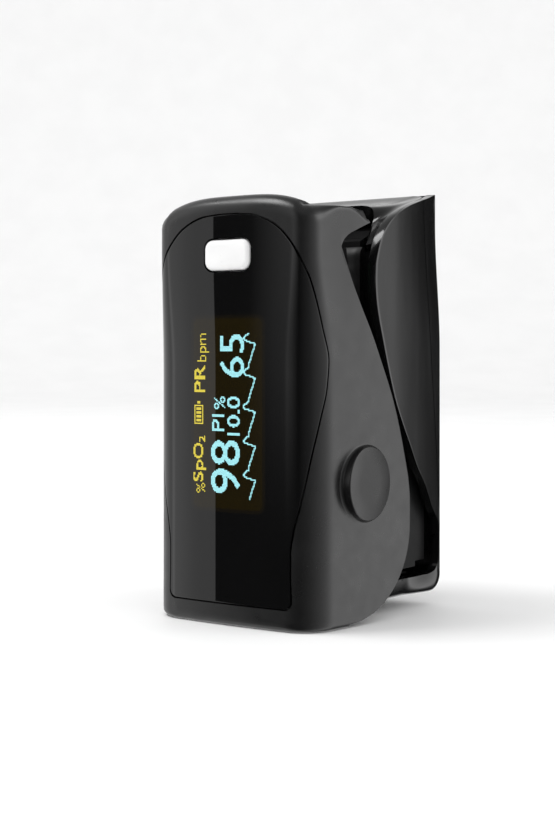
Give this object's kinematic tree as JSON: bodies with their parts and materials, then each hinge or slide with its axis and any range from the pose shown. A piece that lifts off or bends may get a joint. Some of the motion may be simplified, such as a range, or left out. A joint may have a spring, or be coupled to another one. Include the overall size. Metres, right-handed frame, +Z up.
{
  "type": "fingertip pulse oximeter",
  "caption": "Clip-shaped fingertip pulse oximeter: a display half with a push button and a hinged battery half with silicone finger pads and a slide-off battery cover.",
  "frame": {"origin": "centre of the bounding box on the floor, under the squeeze end it stands on", "axes": "+Z up the object's length from the squeeze end to the finger opening, -Y out of the display face, +X across, along the hinge axis"},
  "size_m": [0.0314, 0.0324, 0.0579],
  "materials": {
    "satin_black": "satin black moulding",
    "gloss_black": "gloss black moulding",
    "smoked_panel": "polished smoked acrylic",
    "white_plastic": "white moulding",
    "black_silicone": "matt silicone",
    "dark_plastic": "fine spark texture",
    "clear_window": "clear red-tinted window",
    "circuit_board": "green solder resist",
    "steel": "bright steel wire and screws",
    "nickel": "nickel-plated strip",
    "cell_jacket": "printed cell jacket, left plain",
    "chip_black": "moulded component"
  },
  "bodies": {
    "display_half": {"front_shell": "satin_black", "faceplate": "smoked_panel", "display_module": "chip_black", "main_board": "circuit_board", "controller_chip": "chip_black", "tact_switch": "nickel", "front_inner_housing": "dark_plastic", "front_finger_pad": "black_silicone", "emitter_led": "white_plastic", "emitter_window": "clear_window", "hinge_pin": "steel", "torsion_spring_left": "steel", "torsion_spring_right": "steel", "front_screw_left": "steel", "front_screw_right": "steel"},
    "battery_half": {"rear_shell": "gloss_black", "mouth_frame": "gloss_black", "rear_inner_housing": "dark_plastic", "rear_finger_pad": "black_silicone", "detector_window": "clear_window", "photodetector": "chip_black", "detector_board": "circuit_board", "aaa_cell_left": "cell_jacket", "aaa_cell_right": "cell_jacket", "cell_spring_left": "steel", "cell_spring_right": "steel", "cell_contact_left": "nickel", "cell_contact_right": "nickel", "rear_screw_left": "steel", "rear_screw_right": "steel"},
    "power_key": {"power_button": "white_plastic", "switch_plunger": "chip_black"},
    "cover": {"battery_cover": "gloss_black"}
  },
  "joints": [
    {"name": "squeeze_hinge", "type": "hinge", "parent": "display_half", "child": "battery_half", "pos_m": [0, -0.00485, 0.0185], "axis": [-1, 0, 0], "range_deg": [0, 16], "stiffness_Nm_per_rad": 0.05, "springref_deg": -34.38},
    {"name": "button_press", "type": "slide", "parent": "display_half", "child": "power_key", "axis": [0, 1, 0], "range_m": [0, 0.0005], "stiffness_N_per_m": 400, "springref_m": -0.001},
    {"name": "cover_slide", "type": "slide", "parent": "battery_half", "child": "cover", "axis": [0, 0, 1], "range_m": [0, 0.045]}
  ]
}
